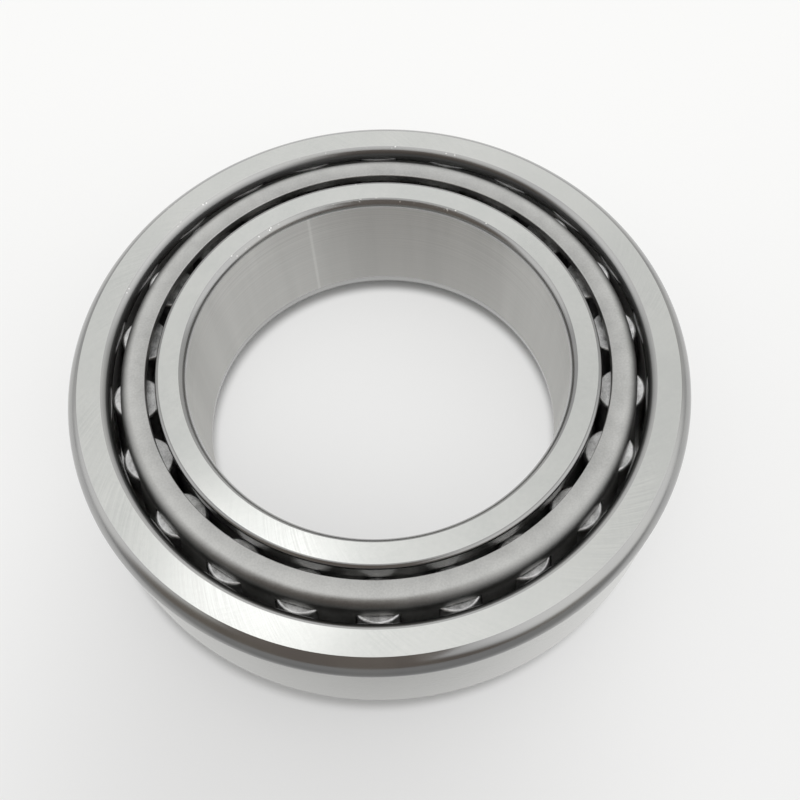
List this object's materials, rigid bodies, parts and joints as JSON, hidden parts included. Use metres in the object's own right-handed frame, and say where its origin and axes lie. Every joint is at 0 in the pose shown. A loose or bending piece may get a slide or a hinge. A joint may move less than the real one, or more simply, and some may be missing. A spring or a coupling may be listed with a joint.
{
  "type": "tapered roller bearing",
  "caption": "Separable tapered roller bearing: plain-faced outer ring, ribbed inner ring and slanted rollers in a pressed-steel cage; carries radial load and thrust one way.",
  "frame": {"origin": "centre of the inner ring's back face, on the bearing axis, where the bearing stands", "axes": "+Z along the bearing axis, from the inner ring's back face towards the outer ring's back face; X and Y across it, with the picture taken from -Y"},
  "size_m": [0.0734, 0.0734, 0.0198],
  "materials": {
    "ground_steel": "ground bearing steel, satin, with fine grinding lines",
    "pressed_steel": "pressed sheet steel, matt and finely mottled",
    "roller_steel": "ground and tumbled bearing steel, oiled"
  },
  "bodies": {
    "inner_ring": {"inner_ring": "ground_steel"},
    "outer_ring": {"outer_ring": "ground_steel"},
    "cage": {"cage": "pressed_steel"},
    "roller_01": {"roller_01": "roller_steel"},
    "roller_02": {"roller_02": "roller_steel"},
    "roller_03": {"roller_03": "roller_steel"},
    "roller_04": {"roller_04": "roller_steel"},
    "roller_05": {"roller_05": "roller_steel"},
    "roller_06": {"roller_06": "roller_steel"},
    "roller_07": {"roller_07": "roller_steel"},
    "roller_08": {"roller_08": "roller_steel"},
    "roller_09": {"roller_09": "roller_steel"},
    "roller_10": {"roller_10": "roller_steel"},
    "roller_11": {"roller_11": "roller_steel"},
    "roller_12": {"roller_12": "roller_steel"},
    "roller_13": {"roller_13": "roller_steel"},
    "roller_14": {"roller_14": "roller_steel"},
    "roller_15": {"roller_15": "roller_steel"},
    "roller_16": {"roller_16": "roller_steel"},
    "roller_17": {"roller_17": "roller_steel"},
    "roller_18": {"roller_18": "roller_steel"},
    "roller_19": {"roller_19": "roller_steel"},
    "roller_20": {"roller_20": "roller_steel"},
    "roller_21": {"roller_21": "roller_steel"},
    "roller_22": {"roller_22": "roller_steel"}
  },
  "joints": [
    {"name": "outer_ring_spin", "type": "hinge", "parent": "inner_ring", "child": "outer_ring", "pos_m": [0, 0, 0.01], "axis": [0, 0, 1], "continuous": true},
    {"name": "cage_orbit", "type": "hinge", "parent": "inner_ring", "child": "cage", "pos_m": [0, 0, 0.01], "axis": [0, 0, 1], "continuous": true},
    {"name": "roller_01_spin", "type": "hinge", "parent": "cage", "child": "roller_01", "pos_m": [0.03094, 0.00358, 0.004], "axis": [-0.1827, -0.0211, 0.9829], "continuous": true},
    {"name": "roller_02_spin", "type": "hinge", "parent": "cage", "child": "roller_02", "pos_m": [0.02868, 0.01215, 0.004], "axis": [-0.1694, -0.0718, 0.9829], "continuous": true},
    {"name": "roller_03_spin", "type": "hinge", "parent": "cage", "child": "roller_03", "pos_m": [0.02409, 0.01974, 0.004], "axis": [-0.1423, -0.1166, 0.9829], "continuous": true},
    {"name": "roller_04_spin", "type": "hinge", "parent": "cage", "child": "roller_04", "pos_m": [0.01755, 0.02573, 0.004], "axis": [-0.1037, -0.1519, 0.9829], "continuous": true},
    {"name": "roller_05_spin", "type": "hinge", "parent": "cage", "child": "roller_05", "pos_m": [0.0096, 0.02963, 0.004], "axis": [-0.0567, -0.175, 0.9829], "continuous": true},
    {"name": "roller_06_spin", "type": "hinge", "parent": "cage", "child": "roller_06", "pos_m": [0.00086, 0.03113, 0.004], "axis": [-0.0051, -0.1839, 0.9829], "continuous": true},
    {"name": "roller_07_spin", "type": "hinge", "parent": "cage", "child": "roller_07", "pos_m": [-0.00795, 0.03011, 0.004], "axis": [0.0469, -0.1779, 0.9829], "continuous": true},
    {"name": "roller_08_spin", "type": "hinge", "parent": "cage", "child": "roller_08", "pos_m": [-0.01611, 0.02666, 0.004], "axis": [0.0951, -0.1574, 0.9829], "continuous": true},
    {"name": "roller_09_spin", "type": "hinge", "parent": "cage", "child": "roller_09", "pos_m": [-0.02297, 0.02104, 0.004], "axis": [0.1356, -0.1243, 0.9829], "continuous": true},
    {"name": "roller_10_spin", "type": "hinge", "parent": "cage", "child": "roller_10", "pos_m": [-0.02796, 0.01372, 0.004], "axis": [0.1652, -0.081, 0.9829], "continuous": true},
    {"name": "roller_11_spin", "type": "hinge", "parent": "cage", "child": "roller_11", "pos_m": [-0.03069, 0.00528, 0.004], "axis": [0.1813, -0.0312, 0.9829], "continuous": true},
    {"name": "roller_12_spin", "type": "hinge", "parent": "cage", "child": "roller_12", "pos_m": [-0.03094, -0.00358, 0.004], "axis": [0.1827, 0.0211, 0.9829], "continuous": true},
    {"name": "roller_13_spin", "type": "hinge", "parent": "cage", "child": "roller_13", "pos_m": [-0.02868, -0.01215, 0.004], "axis": [0.1694, 0.0718, 0.9829], "continuous": true},
    {"name": "roller_14_spin", "type": "hinge", "parent": "cage", "child": "roller_14", "pos_m": [-0.02409, -0.01974, 0.004], "axis": [0.1423, 0.1166, 0.9829], "continuous": true},
    {"name": "roller_15_spin", "type": "hinge", "parent": "cage", "child": "roller_15", "pos_m": [-0.01755, -0.02573, 0.004], "axis": [0.1037, 0.1519, 0.9829], "continuous": true},
    {"name": "roller_16_spin", "type": "hinge", "parent": "cage", "child": "roller_16", "pos_m": [-0.0096, -0.02963, 0.004], "axis": [0.0567, 0.175, 0.9829], "continuous": true},
    {"name": "roller_17_spin", "type": "hinge", "parent": "cage", "child": "roller_17", "pos_m": [-0.00086, -0.03113, 0.004], "axis": [0.0051, 0.1839, 0.9829], "continuous": true},
    {"name": "roller_18_spin", "type": "hinge", "parent": "cage", "child": "roller_18", "pos_m": [0.00795, -0.03011, 0.004], "axis": [-0.0469, 0.1779, 0.9829], "continuous": true},
    {"name": "roller_19_spin", "type": "hinge", "parent": "cage", "child": "roller_19", "pos_m": [0.01611, -0.02666, 0.004], "axis": [-0.0951, 0.1574, 0.9829], "continuous": true},
    {"name": "roller_20_spin", "type": "hinge", "parent": "cage", "child": "roller_20", "pos_m": [0.02297, -0.02104, 0.004], "axis": [-0.1356, 0.1243, 0.9829], "continuous": true},
    {"name": "roller_21_spin", "type": "hinge", "parent": "cage", "child": "roller_21", "pos_m": [0.02796, -0.01372, 0.004], "axis": [-0.1652, 0.081, 0.9829], "continuous": true},
    {"name": "roller_22_spin", "type": "hinge", "parent": "cage", "child": "roller_22", "pos_m": [0.03069, -0.00528, 0.004], "axis": [-0.1813, 0.0312, 0.9829], "continuous": true}
  ],
  "couplings": [
    {"joint": "cage_orbit", "follows": "outer_ring_spin", "ratio": 0.54986},
    {"joint": "roller_01_spin", "follows": "outer_ring_spin", "ratio": 4.8791},
    {"joint": "roller_02_spin", "follows": "outer_ring_spin", "ratio": 4.8791},
    {"joint": "roller_03_spin", "follows": "outer_ring_spin", "ratio": 4.8791},
    {"joint": "roller_04_spin", "follows": "outer_ring_spin", "ratio": 4.8791},
    {"joint": "roller_05_spin", "follows": "outer_ring_spin", "ratio": 4.8791},
    {"joint": "roller_06_spin", "follows": "outer_ring_spin", "ratio": 4.8791},
    {"joint": "roller_07_spin", "follows": "outer_ring_spin", "ratio": 4.8791},
    {"joint": "roller_08_spin", "follows": "outer_ring_spin", "ratio": 4.8791},
    {"joint": "roller_09_spin", "follows": "outer_ring_spin", "ratio": 4.8791},
    {"joint": "roller_10_spin", "follows": "outer_ring_spin", "ratio": 4.8791},
    {"joint": "roller_11_spin", "follows": "outer_ring_spin", "ratio": 4.8791},
    {"joint": "roller_12_spin", "follows": "outer_ring_spin", "ratio": 4.8791},
    {"joint": "roller_13_spin", "follows": "outer_ring_spin", "ratio": 4.8791},
    {"joint": "roller_14_spin", "follows": "outer_ring_spin", "ratio": 4.8791},
    {"joint": "roller_15_spin", "follows": "outer_ring_spin", "ratio": 4.8791},
    {"joint": "roller_16_spin", "follows": "outer_ring_spin", "ratio": 4.8791},
    {"joint": "roller_17_spin", "follows": "outer_ring_spin", "ratio": 4.8791},
    {"joint": "roller_18_spin", "follows": "outer_ring_spin", "ratio": 4.8791},
    {"joint": "roller_19_spin", "follows": "outer_ring_spin", "ratio": 4.8791},
    {"joint": "roller_20_spin", "follows": "outer_ring_spin", "ratio": 4.8791},
    {"joint": "roller_21_spin", "follows": "outer_ring_spin", "ratio": 4.8791},
    {"joint": "roller_22_spin", "follows": "outer_ring_spin", "ratio": 4.8791}
  ]
}
